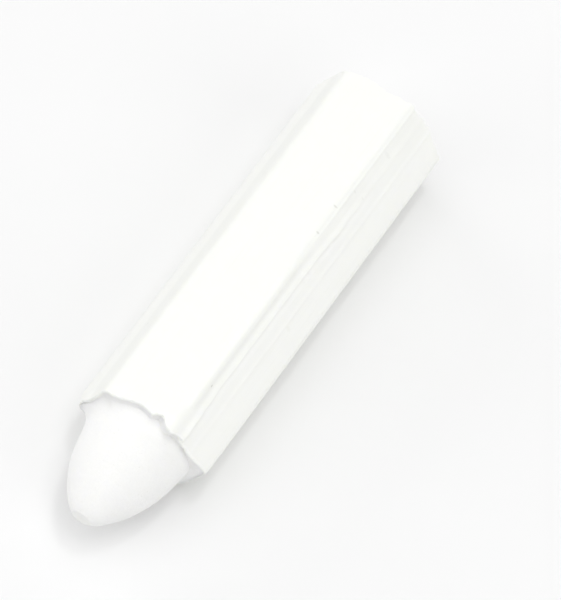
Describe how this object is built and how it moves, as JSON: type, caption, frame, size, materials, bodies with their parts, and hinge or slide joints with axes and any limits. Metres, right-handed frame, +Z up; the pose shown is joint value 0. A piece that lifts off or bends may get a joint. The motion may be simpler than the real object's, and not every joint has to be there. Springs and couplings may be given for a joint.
{
  "type": "chalk piece",
  "caption": "Short piece of white hexagonal marking chalk with a blunt bullet-shaped nose, in a thin glued paper wrapper with a lapped seam and an unevenly cut rim.",
  "frame": {"origin": "on the ground, under the middle of the whole length", "axes": "-Y along the stick towards its nose, +X to the right as seen from the nose, +Z up; the stick lies on one flat"},
  "size_m": [0.0142, 0.0508, 0.0127],
  "materials": {
    "chalk": "matte, powdery",
    "wrapper_paper": "smooth, faintly waxy coated paper"
  },
  "bodies": {
    "root": {"chalk_stick": "chalk", "wrapper": "wrapper_paper"}
  },
  "joints": []
}
